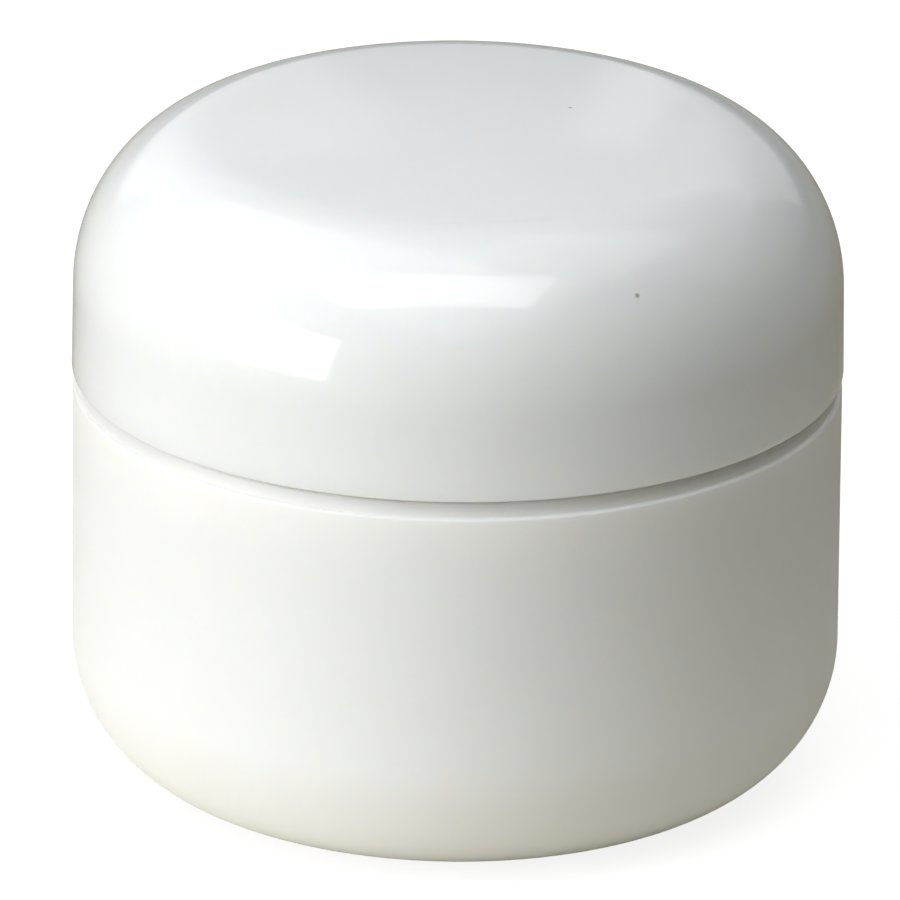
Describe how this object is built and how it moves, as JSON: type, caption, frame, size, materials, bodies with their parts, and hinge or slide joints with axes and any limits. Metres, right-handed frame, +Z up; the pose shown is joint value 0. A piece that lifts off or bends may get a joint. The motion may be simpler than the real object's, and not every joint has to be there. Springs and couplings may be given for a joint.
{
  "type": "paint jar",
  "caption": "Small round double-wall plastic jar with a domed screw lid, an inner cup for paint and a foam seal in the lid.",
  "frame": {"origin": "centre of the jar's underside, on the plane that its foot ring stands on", "axes": "+Z up along the jar's axis, from the foot to the lid; X and Y are level and the shape is round about Z"},
  "size_m": [0.0662, 0.0662, 0.059],
  "materials": {
    "outer_jar": "satin white moulded polypropylene",
    "inner_cup": "smooth white moulded polypropylene",
    "lid_dome": "polished white moulded polypropylene",
    "lid_insert": "plain white moulded polypropylene",
    "liner_disc": "white closed-cell polyethylene foam with fine skin"
  },
  "bodies": {
    "jar": {"outer_jar": "outer_jar", "inner_cup": "inner_cup"},
    "liner": {"liner_disc": "liner_disc"},
    "lid": {"lid_dome": "lid_dome", "lid_insert": "lid_insert"}
  },
  "joints": [
    {"name": "lid_rise", "type": "slide", "parent": "jar", "child": "liner", "axis": [0, 0, 1], "range_m": [0, 0.017]},
    {"name": "lid_turn", "type": "hinge", "parent": "liner", "child": "lid", "pos_m": [0, 0, 0.0367], "axis": [0, 0, 1], "range_deg": [0, 1440]}
  ],
  "couplings": [
    {"joint": "lid_rise", "follows": "lid_turn", "m_per_rad": 0.00067376}
  ]
}
